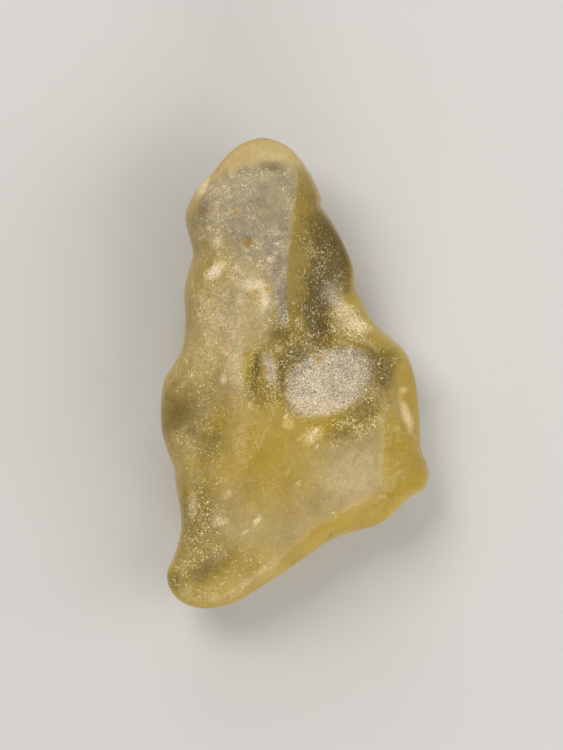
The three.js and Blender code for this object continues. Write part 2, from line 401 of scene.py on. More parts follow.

# White and pinkish crusts, and small white mineral specks; the crest streak, the scoop's oval and the
# shoulder's white patch are partly painted light as well.
CHALK_CRUSTS = (
    Mark(Look.CHALK, (-5.4, 13.5), (0.5, 0.4), 0, 0.38),
    Mark(Look.CHALK, (-2.7, 12.6), (0.7, 0.4), 5, 0.52, 0.15),
    Mark(Look.CHALK, (-8.9, 11.2), (1.7, 1), 40, 0.6, -0.12, soft=0.8),
    Mark(Look.CHALK, (-9.5, 16), (0.35, 0.35), 0, 0.38, 0.06),
    Mark(Look.CHALK, (-8.6, 14.4), (1, 0.8), 0, 0.3),
    Mark(Look.CHALK, (-6.4, 11.6), (0.8, 0.5), 90, 0.3),
    Mark(Look.CHALK, (-4.6, 9.6), (2.2, 1.1), 0, 0.5, -0.08),
    Mark(Look.CHALK, (-3.4, 7.9), (1.6, 0.9), 90, 0.5, -0.06),
    Mark(Look.CHALK, (-6, 8.2), (1.1, 0.7), 70, 0.3),
    Mark(Look.CHALK, (-2, 14.2), (0.55, 0.2), 0, 0.6),
    Mark(Look.CHALK, (-2, 15.3), (0.9, 0.4), 0, 0.34),
    # Pale streak along the crest, partly painted light that makes the ridge paler than its sides.
    Mark(Look.CHALK, (-6.5, 0.8), (6.4, 1.5), 94, 0.17),
    Mark(Look.CHALK, (-7.6, 2.7), (0.8, 0.9), 0, 0.38),
    Mark(Look.CHALK, (-7.9, -0.5), (0.6, 0.9), 0, 0.52),
    Mark(Look.CHALK, (-2.85, 0.6), (2.1, 0.8), 100, 0.5, -0.6, soft=0.8),
    # Pale oval of the scoop: crust, and partly painted light on the hollow that faces the light.
    Mark(Look.CHALK, (3.8, -1.1), (5.8, 3.7), 29, 0.22, soft=0.4, ragged=0.03),
    Mark(Look.CHALK, (6.4, -11.2), (6.5, 4.5), 10, 0.13),
    Mark(Look.CHALK, (-1.8, 2.7), (0.6, 0.5), 0, 0.3),
    Mark(Look.CHALK, (2.6, 1.7), (0.8, 0.7), 0, 0.38),
    # White patch on the shoulder, two marks: crust, and partly painted light on the hollow that faces the
    # light.
    Mark(Look.CHALK, (5.4, 6.9), (2.6, 1.6), -42, 0.34),
    Mark(Look.CHALK, (6.8, 5.4), (2, 1.3), -20, 0.42),
    Mark(Look.CHALK, (4, 8.8), (2.4, 1.6), 110, 0.25),
    Mark(Look.CHALK, (-1.1, -4.7), (0.28, 0.24), 0, 0.71),
    Mark(Look.CHALK, (-0.8, -5.6), (1, 0.8), 0, 0.26),
    Mark(Look.CHALK, (1.8, -6.8), (1.7, 1.3), 40, 0.4),
    Mark(Look.CHALK, (2.2, -6.2), (0.35, 0.32), 0, 0.75),
    Mark(Look.CHALK, (2.4, -8), (0.28, 0.22), 0, 0.75),
    Mark(Look.CHALK, (0.3, -7.1), (0.22, 0.22), 0, 0.75),
    Mark(Look.CHALK, (-1, -10.8), (0.24, 0.34), 0, 0.68),
    Mark(Look.CHALK, (-4.2, -16.1), (0.85, 0.42), 50, 0.6),
    Mark(Look.CHALK, (-5.5, -17.4), (0.55, 0.22), 20, 0.64),
    Mark(Look.CHALK, (0.3, -12), (0.65, 0.2), 30, 0.38),
    Mark(Look.CHALK, (4.2, -15.3), (0.24, 0.2), 0, 0.45),
    Mark(Look.CHALK, (-5, -3.5), (0.4, 0.55), 0, 0.3),
    Mark(Look.CHALK, (11.9, -1.8), (0.7, 0.6), 0, 0.34),
    Mark(Look.CHALK, (12.3, -4.6), (2.8, 0.8), -72, 0.55),
    Mark(Look.CHALK, (-11.4, -14.6), (2.7, 0.9), 85, 0.26),
    Mark(Look.CHALK, (-8.3, -16.2), (1.4, 0.9), 0, 0.22),
    Mark(Look.CHALK, (-7.5, -13.2), (1, 0.7), 60, 0.22),
    Mark(Look.CHALK, (-10.2, 20.7), (1.9, 0.7), 66, 0.35, soft=0.6),
    Mark(Look.CHALK, (-8.6, 5.5), (5, 8), 0, 0.14),
)

# Pits and dots that hold orange desert clay.
CLAY_PITS = (
    Mark(Look.CLAY, (-5.3, 14.3), (0.85, 0.52), 80, 0.95, 0.3),
    Mark(Look.CLAY, (-6.6, 17.6), (0.39, 0.55), 0, 0.8, 0.14),
    Mark(Look.CLAY, (-2.75, 12.65), (0.26, 0.23), 0, 0.8),
    Mark(Look.CLAY, (-2.4, 12.5), (0.23, 0.23), 0, 0.7),
    Mark(Look.CLAY, (-8.7, 12.3), (0.26, 0.26), 0, 1, 0.1),
    Mark(Look.CLAY, (-9.8, 11), (0.25, 0.25), 0, 1, 0.1),
    Mark(Look.CLAY, (-4.4, 8.9), (0.78, 0.39), -20, 0.9, 0.18),
    Mark(Look.CLAY, (-3.1, 9.3), (0.52, 0.39), 0, 1, 0.1),
    Mark(Look.CLAY, (-3.8, 7.7), (0.31, 0.44), 0, 0.8, 0.08),
    Mark(Look.CLAY, (-7.6, 2.75), (0.65, 0.78), 0, 0.6, 0.1),
    Mark(Look.CLAY, (-7.6, 0), (0.36, 0.49), 0, 0.75, 0.08),
    Mark(Look.CLAY, (-3.3, 0.2), (0.44, 0.42), 0, 0.7, 0.08),
    Mark(Look.CLAY, (2.6, 1.7), (0.75, 0.65), 0, 1, 0.1),
    Mark(Look.CLAY, (5.8, 5.8), (0.34, 0.31), 0, 0.65, 0.06),
    Mark(Look.CLAY, (-0.8, -5.5), (0.55, 0.6), 0, 0.8, 0.1),
    Mark(Look.CLAY, (11.6, -2.5), (0.52, 0.39), 0, 0.85, 0.12),
)

Number = Union["ShaderValue", float]


class ShaderValue:
    """A number in a shader: arithmetic on it adds Math nodes to its tree."""

    def __init__(self, tree: "ShaderTree", socket: bpy.types.NodeSocket) -> None:
        """Keeps the tree and the socket that gives the number."""
        self.tree = tree
        self.socket = socket

    def _math(self, operation: str, first: Number, second: Number) -> "ShaderValue":
        """Adds one Math node for an operation on two numbers."""
        return self.tree.value("ShaderNodeMath", {"operation": operation}, {0: first, 1: second})

    def __add__(self, other: Number) -> "ShaderValue":
        """Adds a number."""
        return self._math("ADD", self, other)

    def __sub__(self, other: Number) -> "ShaderValue":
        """Takes a number away."""
        return self._math("SUBTRACT", self, other)

    def __rsub__(self, other: Number) -> "ShaderValue":
        """Is taken away from a number."""
        return self._math("SUBTRACT", other, self)

    def __mul__(self, other: Number) -> "ShaderValue":
        """Multiplies by a number."""
        return self._math("MULTIPLY", self, other)

    __radd__ = __add__
    __rmul__ = __mul__

    def between(self, low: float, high: float) -> "ShaderValue":
        """Gives a smooth rise from 0 to 1.

        Args:
            low: The number where the rise starts.
            high: The number where it ends, which may be the lower one.

        Returns:
            The share of the rise.
        """
        settings = {"interpolation_type": "SMOOTHSTEP"}
        sockets = {"Value": self, "From Min": low, "From Max": high}
        return self.tree.value("ShaderNodeMapRange", settings, sockets)

    def clipped(self) -> "ShaderValue":
        """Keeps the number from 0 to 1."""
        return self.tree.value("ShaderNodeClamp", sockets={"Value": self})


SocketInput = Union[ShaderValue, bpy.types.NodeSocket, float, Sequence[float]]


class ShaderTree:
    """A material's node tree, grown by expressions."""

    MIX_FACTOR, MIX_FIRST, MIX_SECOND, MIX_RESULT = 0, 6, 7, 2

    def __init__(self, name: str) -> None:
        """Makes a material with an empty node tree.

        Args:
            name: The material's name.
        """
        self.material = bpy.data.materials.new(name)
        self.material.use_nodes = True
        self.tree = self.material.node_tree
        self.tree.nodes.clear()

    def node(
        self,
        kind: str,
        settings: Mapping[str, object] | None = None,
        sockets: Mapping[str | int, SocketInput] | None = None,
    ) -> bpy.types.Node:
        """Adds a node.

        Args:
            kind: The node's type.
            settings: Its settings, which are made first because they can change its sockets.
            sockets: A value or a link for each input that is not left as it is.

        Returns:
            The new node.
        """
        made = self.tree.nodes.new(kind)
        for name, setting in (settings or {}).items():
            setattr(made, name, setting)
        for name, given in (sockets or {}).items():
            source = given.socket if isinstance(given, ShaderValue) else given
            if isinstance(source, bpy.types.NodeSocket):
                self.tree.links.new(source, made.inputs[name])
            else:
                made.inputs[name].default_value = source
        return made

    def value(
        self,
        kind: str,
        settings: Mapping[str, object] | None = None,
        sockets: Mapping[str | int, SocketInput] | None = None,
        output: str | int = 0,
    ) -> ShaderValue:
        """Adds a node and gives one of its outputs as a number.

        Args:
            kind: The node's type.
            settings: Its settings.
            sockets: Values or links for its inputs.
            output: The output to take.

        Returns:
            The output, ready for arithmetic.
        """
        return ShaderValue(self, self.node(kind, settings, sockets).outputs[output])

    def look(self, look: Look) -> ShaderValue:
        """Reads one of the glass's looks from the mesh."""
        return self.value("ShaderNodeAttribute", {"attribute_name": look.value}, output="Fac")

    def mix(
        self, share: Number, first: Tint | bpy.types.NodeSocket, second: Tint | bpy.types.NodeSocket
    ) -> bpy.types.NodeSocket:
        """Mixes two colours.

        Args:
            share: The second colour's share.
            first: The colour where the share is 0.
            second: The colour where the share is 1.

        Returns:
            The mixed colour.
        """
        sockets = {self.MIX_FACTOR: share, self.MIX_FIRST: first, self.MIX_SECOND: second}
        return self.node("ShaderNodeMix", {"data_type": "RGBA"}, sockets).outputs[self.MIX_RESULT]

    def finish(self, **shaders: bpy.types.Node) -> bpy.types.Material:
        """Links shaders to the material's output.

        Args:
            shaders: A shader for each of the output's sockets, by the socket's name.

        Returns:
            The finished material.
        """
        sockets = {name: shader.outputs[0] for name, shader in shaders.items()}
        self.node("ShaderNodeOutputMaterial", sockets=sockets)
        return self.material


def paint(hex_code: str) -> Tint:
    """Turns a colour as a screen shows it into the linear colour that a shader uses.

    Args:
        hex_code: The colour as # and six digits.

    Returns:
        Red, green, blue and a full alpha.
    """
    shown = np.array([int(hex_code[place : place + 2], 16) for place in (1, 3, 5)]) / 255
    linear = np.where(shown <= 0.04045, shown / 12.92, ((shown + 0.055) / 1.055) ** 2.4)
    return (*linear.tolist(), 1.0)


@dataclass(frozen=True)
class Noise:
    """Soft noise: the length of its grains, and how many finer layers it has."""

    length: float
    detail: float

    def spread(self, tree: ShaderTree, place: bpy.types.NodeSocket) -> ShaderValue:
        """Adds the noise to a material.

        Args:
            tree: The material's tree.
            place: The place on the surface, in the unit of the length.

        Returns:
            The noise, around a half.
        """
        sockets = {"Vector": place, "Scale": 1 / self.length, "Detail": self.detail}
        return tree.value("ShaderNodeTexNoise", sockets=sockets)


@dataclass(frozen=True)
class Dots:
    """Round dots of random sizes in a share of many small cells, which grows where the dots crowd."""

    length: float
    share: float
    crowding: float
    reach: float
    growth: float = 3.0
    edge: float = 1.5

    def spread(self, tree: ShaderTree, place: bpy.types.NodeSocket, crowd: Number = 0.0) -> ShaderValue:
        """Adds the dots to a material: a dot's radius grows with its cell's random number and the share.

        Args:
            tree: The material's tree.
            place: The place on the surface, in the unit of the length.
            crowd: How much the dots crowd there, from 0 to 1.

        Returns:
            1 in the dots, falling softly to 0 between them.
        """
        cells = tree.node("ShaderNodeTexVoronoi", sockets={"Vector": place, "Scale": 1 / self.length})
        draw = tree.value("ShaderNodeSeparateColor", sockets={0: cells.outputs["Color"]})
        share = self.share + self.crowding * crowd
        radius = self.reach * (self.growth * (draw + share - 1)).clipped()
        inside = radius - ShaderValue(tree, cells.outputs["Distance"])
        return (inside * (self.edge / self.reach)).clipped()


class Readings(NamedTuple):
    """The glass's looks as a material reads them, in the order of Look."""

    frost_and_sheen: ShaderValue
    grain: ShaderValue
    shade: ShaderValue
    chalk: ShaderValue
    clay: ShaderValue


class FineTexture(NamedTuple):
    """The glass's fine texture: its noises, and what they make of the looks."""

    cloud: ShaderValue
    mottle: ShaderValue
    grit: ShaderValue
    hammer: ShaderValue
    glints: ShaderValue
    grainy_frost_and_sheen: ShaderValue
    painted_shade: ShaderValue
    crust: ShaderValue


@dataclass(frozen=True)
class DesertGlassFinish:
    """Milky yellow glass: satin where worn smooth, frosted with a painted sheen on its flats, glittering with
    painted glints where etched, and olive with painted shade in its clear places.

    Lengths are in millimetres. A range holds the two levels of a noise between which something fades in.
    Strengths stand in the order in which the method that unpacks them names them.
    """

    clear: str = "#f2df94"
    amber: str = "#dcbd4a"
    honey: str = "#ceae38"
    # Grey of the frost and its painted sheen, mottled with the mist.
    frost_and_sheen: str = "#b0a389"
    mist: str = "#968d80"
    # Olive of the painted shade, also used in the gaps of the grit.
    olive: str = "#584610"
    glitter: str = "#f8efd6"
    spangle: str = "#f2e6b6"
    chalk: str = "#e6d2b8"
    clay: str = "#ae7e30"
    index_of_refraction: float = 1.46
    veil_gloss: float = 0.25
    absorption: Tint = (1.0, 0.9, 0.45, 1.0)
    absorption_per_metre: float = 90.0
    clouds: Noise = Noise(4.5, 3)
    mottles: Noise = Noise(1.6, 2)
    grit: Noise = Noise(0.14, 1)
    sparkle: Noise = Noise(0.3, 2)
    hammer: Noise = Noise(0.7, 2)
    granules: Dots = Dots(0.17, 0.16, 0.6, 0.6)
    clumps: Dots = Dots(0.42, 0.03, 0.25, 0.45)
    specks: Dots = Dots(1.3, 0.12, 0, 0.16)
    cloud_range: Pair = (0.35, 0.65)
    mottle_range: Pair = (0.36, 0.62)
    sparkle_range: Pair = (0.52, 0.68)
    crust_range: Pair = (0.38, 0.62)
    gap_range: Pair = (0.52, 0.36)
    frost_glints_range: Pair = (0.5, 0.66)
    calm_crowd: float = 0.35
    dark_crowd_loss: float = 0.4
    glint_strengths: Pair = (0.8, 0.45)
    frost_and_sheen_strength: float = 0.6
    shade_rise: float = 1.5
    painted_shade_strengths: tuple[float, float, float] = (0.4, 0.8, 0.4)
    crust_base: float = 0.5
    speck_strength: float = 0.8
    gap_strengths: Pair = (0.12, 0.6)
    frost_glints_strength: float = 0.4
    glint_cover: float = 0.9
    veil_strengths: tuple[float, float, float, float] = (0.45, 0.35, 0.45, 0.7)
    smooth_grit: float = 0.35
    glint_rise: float = 0.3
    hammer_rise: float = 1.5
    bump_height: float = 0.035
    glass_roughness: tuple[float, float, float] = (0.18, 0.3, 0.15)
    veil_roughness: tuple[float, float, float] = (0.3, 0.25, 0.3)

    def material(self) -> bpy.types.Material:
        """Lays a milky veil of varying cover over clear glass whose depth swallows blue.

        Returns:
            The glass's material.
        """
        tree = ShaderTree("desert_glass")
        looks = Readings(*(tree.look(look) for look in Look))
        texture = self._texture(tree, looks)
        normal = self._normal(tree, looks, texture)
        layers = {
            0: self._cover(looks, texture),
            1: self._glass(tree, looks, texture, normal).outputs[0],
            2: self._veil(tree, looks, texture, normal).outputs[0],
        }
        surface = tree.node("ShaderNodeMixShader", sockets=layers)
        swallowed = {"Color": self.absorption, "Density": self.absorption_per_metre}
        depths = tree.node("ShaderNodeVolumeAbsorption", sockets=swallowed)
        return tree.finish(Surface=surface, Volume=depths)

    def _texture(self, tree: ShaderTree, looks: Readings) -> FineTexture:
        """Works out the fine texture at its real sizes.

        Painted glints crowd where the glass is grainy, most on its pale mottles and least in its dark places.
        The painted shade rises faster at first, as the eye sees it.

        Args:
            tree: The material's tree.
            looks: The glass's looks.

        Returns:
            The texture.
        """
        place = self._millimetres(tree)
        cloud = self.clouds.spread(tree, place)
        mottle = self.mottles.spread(tree, place).between(*self.mottle_range)
        grit = self.grit.spread(tree, place)
        mottled = self.calm_crowd + (1 - self.calm_crowd) * mottle
        crowd = looks.grain * mottled * (1 - self.dark_crowd_loss * looks.shade)
        granules = self.granules.spread(tree, place, crowd)
        clumps = self.clumps.spread(tree, place, crowd)
        sparkle = crowd * self.sparkle.spread(tree, place).between(*self.sparkle_range)
        granule_strength, sparkle_strength = self.glint_strengths
        shade = looks.shade * (self.shade_rise - (self.shade_rise - 1) * looks.shade)
        even, gritty, cloudy = self.painted_shade_strengths
        chalk = looks.chalk * (self.crust_base + grit.between(*self.crust_range))
        return FineTexture(
            cloud=cloud,
            mottle=mottle,
            grit=grit,
            hammer=self.hammer.spread(tree, place),
            # Painted glints: pale dots of granules, clumps and sparkle where the glass is grainy.
            glints=(granule_strength * granules + clumps + sparkle_strength * sparkle).clipped(),
            # Frost with its painted sheen, broken up by the grit.
            grainy_frost_and_sheen=(looks.frost_and_sheen * (self.frost_and_sheen_strength + self.frost_and_sheen_strength * grit)).clipped(),
            # Painted shade, broken up by the grit and the clouds.
            painted_shade=(shade * (even + gritty * grit + cloudy * cloud)).clipped(),
            crust=(chalk + self.speck_strength * self.specks.spread(tree, place)).clipped(),
        )

    def _body(self, tree: ShaderTree, looks: Readings, texture: FineTexture) -> bpy.types.NodeSocket:
        """Paints the veil in layers, from the glass's own yellow to the clay in its pits.

        Args:
            tree: The material's tree.
            looks: The glass's looks.
            texture: Its fine texture.

        Returns:
            The veil's colour.
        """
        everywhere, grainy = self.gap_strengths
        gaps = (everywhere + grainy * looks.grain) * texture.grit.between(*self.gap_range)
        # Painted glints on grainy frost.
        frost_glints = self.frost_glints_strength * looks.grain * looks.frost_and_sheen * texture.grit.between(*self.frost_glints_range)
        haze = tree.mix(texture.mottle, paint(self.mist), paint(self.frost_and_sheen))
        # Colour of the painted glints: gold on clear glass, white on frost.
        spark = tree.mix(looks.frost_and_sheen, paint(self.spangle), paint(self.glitter))
        body = tree.mix(texture.cloud.between(*self.cloud_range), paint(self.amber), paint(self.honey))
        layers = (
            # Frost with its painted sheen.
            (texture.grainy_frost_and_sheen, haze),
            # Painted shade.
            (texture.painted_shade, paint(self.olive)),
            (gaps, paint(self.olive)),
            (frost_glints, paint(self.glitter)),
            # Painted glints.
            (self.glint_cover * texture.glints, spark),
            (texture.crust, paint(self.chalk)),
            (looks.clay, paint(self.clay)),
        )
        for share, colour in layers:
            body = tree.mix(share, body, colour)
        return body

    def _cover(self, looks: Readings, texture: FineTexture) -> ShaderValue:
        """Adds up how far the veil hides the clear glass.

        Args:
            looks: The glass's looks.
            texture: Its fine texture.

        Returns:
            The veil's share, from 0 to 1.
        """
        everywhere, grainy_frost_and_sheen, painted_shade, glints = self.veil_strengths
        milky = everywhere + grainy_frost_and_sheen * texture.grainy_frost_and_sheen + painted_shade * texture.painted_shade + glints * texture.glints
        return (milky + texture.crust + looks.clay).clipped()

    def _normal(self, tree: ShaderTree, looks: Readings, texture: FineTexture) -> bpy.types.NodeSocket:
        """Bumps the surface by its grit, more where it is grainy, and by its glints and hammered waves.

        Args:
            tree: The material's tree.
            looks: The glass's looks.
            texture: Its fine texture.

        Returns:
            The bumped normal.
        """
        grit = texture.grit * (self.smooth_grit + (1 - self.smooth_grit) * looks.grain)
        relief = grit + self.glint_rise * texture.glints + self.hammer_rise * texture.hammer
        sockets = {"Distance": self.bump_height * MM, "Height": relief}
        return tree.node("ShaderNodeBump", sockets=sockets).outputs["Normal"]

    def _glass(
        self, tree: ShaderTree, looks: Readings, texture: FineTexture, normal: bpy.types.NodeSocket
    ) -> bpy.types.Node:
        """Makes the clear glass, rougher where it is frosted or grainy.

        Args:
            tree: The material's tree.
            looks: The glass's looks.
            texture: Its fine texture.
            normal: The bumped normal.

        Returns:
            The shader.
        """
        everywhere, frosted, grainy = self.glass_roughness
        sockets = {
            # The painted shade tints the clear glass olive as well.
            "Base Color": tree.mix(texture.painted_shade, paint(self.clear), paint(self.olive)),
            "Roughness": everywhere + frosted * looks.frost_and_sheen + grainy * looks.grain,
            "IOR": self.index_of_refraction,
            "Transmission Weight": 1.0,
            "Normal": normal,
        }
        return tree.node("ShaderNodeBsdfPrincipled", sockets=sockets)

    def _veil(
        self, tree: ShaderTree, looks: Readings, texture: FineTexture, normal: bpy.types.NodeSocket
    ) -> bpy.types.Node:
        """Makes the milky veil, rougher where it is frosted or crusted.

        Args:
            tree: The material's tree.
            looks: The glass's looks.
            texture: Its fine texture.
            normal: The bumped normal.

        Returns:
            The shader.
        """
        everywhere, frosted, crusted = self.veil_roughness
        sockets = {
            "Base Color": self._body(tree, looks, texture),
            "Roughness": everywhere + frosted * looks.frost_and_sheen + crusted * texture.crust,
            "Specular IOR Level": self.veil_gloss,
            "IOR": self.index_of_refraction,
            "Normal": normal,
        }
        return tree.node("ShaderNodeBsdfPrincipled", sockets=sockets)

    def _millimetres(self, tree: ShaderTree) -> bpy.types.NodeSocket:
        """Gives the place on the glass in millimetres.

        Args:
            tree: The material's tree.

        Returns:
            The place as a vector.
        """
        place = tree.node("ShaderNodeTexCoord").outputs["Object"]
        scaled = tree.node("ShaderNodeVectorMath", {"operation": "SCALE"}, {0: place, "Scale": 1 / MM})
        return scaled.outputs[0]


@dataclass(frozen=True)
class FloorFinish:
    """Plain pale studio card with a barely uneven tone."""

    light: str = "#c8c6c2"
    dark: str = "#c2c0bc"
    roughness: float = 0.9
    tone_length: float = 60.0

    def material(self) -> bpy.types.Material:
        """Mixes the two tones by soft noise.

        Returns:
            The floor's material.
        """
        tree = ShaderTree("studio_floor")
        place = tree.node("ShaderNodeTexCoord").outputs["Object"]
        scale = 1 / (self.tone_length * MM)
        tone = tree.value("ShaderNodeTexNoise", sockets={"Vector": place, "Scale": scale})
        shader = tree.node(
            "ShaderNodeBsdfPrincipled",
            sockets={
                "Base Color": tree.mix(tone, paint(self.light), paint(self.dark)),
                "Roughness": self.roughness,
            },
        )
        return tree.finish(Surface=shader)


@dataclass
class DesertGlass:
    """The lump of glass: an upper and an under skin over one plan, which meet at the rim.

    The four corners of the plan are given as numbers of the outline's points.
    """

    name: str = "desert_glass_lump"
    outline: Sequence[Pair] = OUTLINE
    narrow_left: int = 2
    tail: int = 25
    foot: int = 36
    narrow_right: int = 54
    lumps: Sequence[Sequence[Face]] = LUMPS
    scoops: Sequence[Face] = SCOOPS
    under_faces: Sequence[Face] = UNDER_FACES
    waves: Sequence[Wave] = WAVES
    marks: Sequence[Mark] = DARK_PLACES + GRAIN_PATCHES + FROST_AND_SHEEN_PATCHES + CHALK_CRUSTS + CLAY_PITS
    lift_off: float = 1.0
    rim_share: float = 0.45
    rim_wave: Wave = Wave(15, 70, 0.12, 1)
    upper_roll: Roll = Roll(1.2, 0.3, 4)
    under_roll: Roll = Roll(1.6, 0.68, 6)
    arris_round: float = 0.22
    seam_round: float = 0.4
    relief: RoughField = RoughField(11, 3.2, 0.8)
    relief_height: float = 0.035
    dimples: RoughField = RoughField(41, 6, 1.5)
    dimple_height: float = 0.1
    dimple_lift: Pair = (0.3, 1.6)
    ragged: RoughField = RoughField(23, 2.4, 0.5)
    strips_across: int = 170
    strips_along: int = 250
    rim_gather: float = 0.45
    rim_samples: int = 10
    # Width of the clear yellow edge, a painted glow of light through the thin rim.
    clear_rim: float = 0.8
    clear_under_rim: float = 5.0
    under_clouds: RoughField = RoughField(37, 14, 2)
    under_frost: float = 0.75
    under_shade: float = 0.45
    frost_clouds: Pair = (-1.4, 1.4)
    grain_clouds: Pair = (-1.4, 1.0)
    shade_clouds: Pair = (0.0, -1.6)

    def outline_at(self, numbers: Array) -> Array:
        """Follows the outline: a cubic between points, its slope at each half the step over its neighbours.

        Args:
            numbers: Point numbers, whole or between two points.

        Returns:
            The places on the outline.
        """
        points = np.array(self.outline, float)
        whole = np.floor(numbers).astype(int)
        part = (numbers - whole)[..., None]
        before, start, end, after = (points[(whole + step) % len(points)] for step in (-1, 0, 1, 2))
        square = 2 * before - 5 * start + 4 * end - after
        cube = 3 * (start - end) + after - before
        return start + (part * (end - before) + part**2 * square + part**3 * cube) / 2

    def plan(self, across: Array, along: Array) -> Array:
        """Blends each pair of opposite sides, less the blend of the four corners, which they count twice.

        Args:
            across: Fractions from the left side to the right.
            along: Fractions from the tail to the narrow end.

        Returns:
            The places in plan.
        """
        s, t = across[..., None], along[..., None]
        count = len(self.outline)
        left = self.outline_at(self.tail + (self.narrow_left - self.tail) * along)
        right = self.outline_at(self.foot + (self.narrow_right - self.foot) * along)
        lower = self.outline_at(self.tail + (self.foot - self.tail) * across)
        narrow_span = self.narrow_right - self.narrow_left - count
        upper = self.outline_at(self.narrow_left + count + narrow_span * across)
        corners = np.array([self.tail, self.foot, self.narrow_left, self.narrow_right], float)
        tail, foot, narrow_left, narrow_right = self.outline_at(corners)
        blend = (1 - t) * ((1 - s) * tail + s * foot) + t * ((1 - s) * narrow_left + s * narrow_right)
        return (1 - s) * left + s * right + (1 - t) * lower + t * upper - blend

    def rim_distance(self, plan: Array) -> Array:
        """Measures to the nearest sample of the outline, then to its chord's line on either side of it.

        Args:
            plan: Places in plan.

        Returns:
            How far in from the rim each place lies.
        """
        numbers = np.arange(0, len(self.outline), 1 / self.rim_samples)
        samples = self.outline_at(numbers)
        squares = (plan**2).sum(-1)[..., None] + (samples**2).sum(-1) - 2 * plan @ samples.T
        nearest = squares.argmin(-1)
        distances = []
        for step in (-1, 1):
            chord = samples[(nearest + step) % len(samples)] - samples[nearest]
            offset = plan - samples[nearest]
            share = np.clip((offset * chord).sum(-1) / (chord**2).sum(-1), 0, 1)
            distances.append(np.linalg.norm(offset - share[..., None] * chord, axis=-1))
        return np.minimum(*distances)

    def worn_waves(self, plan: Array) -> Array:
        """Adds up the low waves that are worn into both sides."""
        return sum(wave.rise(plan) for wave in self.waves)

    def upper_side(self, plan: Array) -> Worn:
        """Joins the lumps by the highest of them, cuts them by the scoops, and adds the waves.

        Args:
            plan: Places in plan.

        Returns:
            The upper side before it rolls over to the rim, with its faces' looks.
        """
        bodies = [self._lowest(faces, plan) for faces in self.lumps]
        height, shares = soft_most(np.stack([body.height for body in bodies]), self.seam_round)
        looks = sum(share[..., None] * body.looks for share, body in zip(shares, bodies))
        worn = self._lowest(self.scoops, plan, Worn(height, looks))
        return Worn(worn.height + self.worn_waves(plan), worn.looks)

    def _lowest(self, faces: Sequence[Face], plan: Array, body: Worn | None = None) -> Worn:
        """Finds the lowest of some faces, and of a body that they cut, blending their looks by their shares.

        Args:
            faces: The faces.
            plan: Places in plan.
            body: What the faces cut into, if anything.

        Returns:
            The lowest height, with the looks there.
        """
        heights = [face.height(plan) for face in faces]
        looks = [np.broadcast_to(face.looks(), (*plan.shape[:-1], len(FACE_LOOKS))) for face in faces]
        if body is not None:
            heights.append(body.height)
            looks.append(body.looks)
        height, shares = soft_least(np.stack(heights), self.arris_round)
        return Worn(height, sum(share[..., None] * look for share, look in zip(shares, looks)))

    def under_side(self, plan: Array) -> Array:
        """Takes the highest under face, lifted gently off the ground: its square over it plus a length.

        Args:
            plan: Places in plan.

        Returns:
            The height of the underside before it rolls over to the rim.
        """
        heights = np.stack([face.height(plan) for face in self.under_faces])
        rise = np.maximum(soft_most(heights, self.seam_round)[0] + self.worn_waves(plan), 0)
        return rise**2 / (rise + self.lift_off)

    def build(self) -> bpy.types.Object:
        """Works out both skins over one grid, welds them along the rim, and keeps the looks on the mesh.

        Returns:
            The lump, with no finish yet.
        """
        across, along = np.meshgrid(self._gathered(self.strips_across), self._gathered(self.strips_along))
        plan = self.plan(across, along)
        distance = self.rim_distance(plan)
        for edge in (distance[0], distance[-1], distance[:, 0], distance[:, -1]):
            edge[:] = 0
        edge_field = self.ragged.at(plan)
        covers = [mark.cover(plan, edge_field) for mark in self.marks]
        upper = self.upper_side(plan)
        mesh = self._welded(*self._skins(plan, distance, upper.height, covers))
        under_looks = self._under_looks(plan, distance)
        for look, upper_look in self._upper_looks(upper.looks, distance, covers).items():
            values = np.concatenate([upper_look.ravel(), under_looks[look][1:-1, 1:-1].ravel()])
            kept = mesh.attributes.new(look.value, "FLOAT", "POINT")
            kept.data.foreach_set("value", values.astype(np.float32))
        lump = bpy.data.objects.new(self.name, mesh)
        bpy.context.scene.collection.objects.link(lump)
        return lump

    def _skins(
        self, plan: Array, rim_distance: Array, upper: Array, covers: Sequence[Array]
    ) -> tuple[Array, Array]:
        """Rolls both sides over to a rim at a share of the way up, with relief, marks and dimples on them.

        Args:
            plan: Places in plan.
            rim_distance: How far in from the rim each place lies.
            upper: The height of the upper side before it rolls over.
            covers: How far each mark covers each place.

        Returns:
            The points of the upper skin and those of the under skin.
        """
        under = self.under_side(plan)
        rim = under + (upper - under) * (self.rim_share + self.rim_wave.rise(plan))
        upper_share = self.upper_roll.share(upper - rim, rim_distance)
        under_share = self.under_roll.share(under - rim, rim_distance)
        sunk = sum(mark.depth * cover for mark, cover in zip(self.marks, covers))
        worn = self.relief_height * self.relief.at(plan) - sunk
        top = np.dstack([plan, rim + (upper - rim + worn) * upper_share])
        lifted = smooth_step(*self.dimple_lift, under)
        dimpled = self.dimple_height * self.dimples.at(plan) * lifted
        bottom = np.dstack([plan, rim + (under - rim + dimpled) * under_share])
        return top, bottom

    def _welded(self, top: Array, bottom: Array) -> bpy.types.Mesh:
        """Makes one mesh of both skins, which share the points of the rim.

        Args:
            top: The points of the upper skin.
            bottom: The points of the under skin.

        Returns:
            The closed mesh, with its faces outwards.
        """
        top_ids = np.arange(top[..., 0].size).reshape(top.shape[:-1])
        under_ids = top_ids.copy()
        inner = under_ids[1:-1, 1:-1]
        inner[:] = top_ids.size + np.arange(inner.size).reshape(inner.shape)
        points = np.concatenate([top.reshape(-1, 3), bottom[1:-1, 1:-1].reshape(-1, 3)])
        triangles = np.concatenate([self._triangles(top_ids), self._triangles(under_ids)[:, ::-1]])
        mesh = bpy.data.meshes.new(self.name)
        mesh.from_pydata(points * MM, [], triangles)
        mesh.shade_smooth()
        return mesh

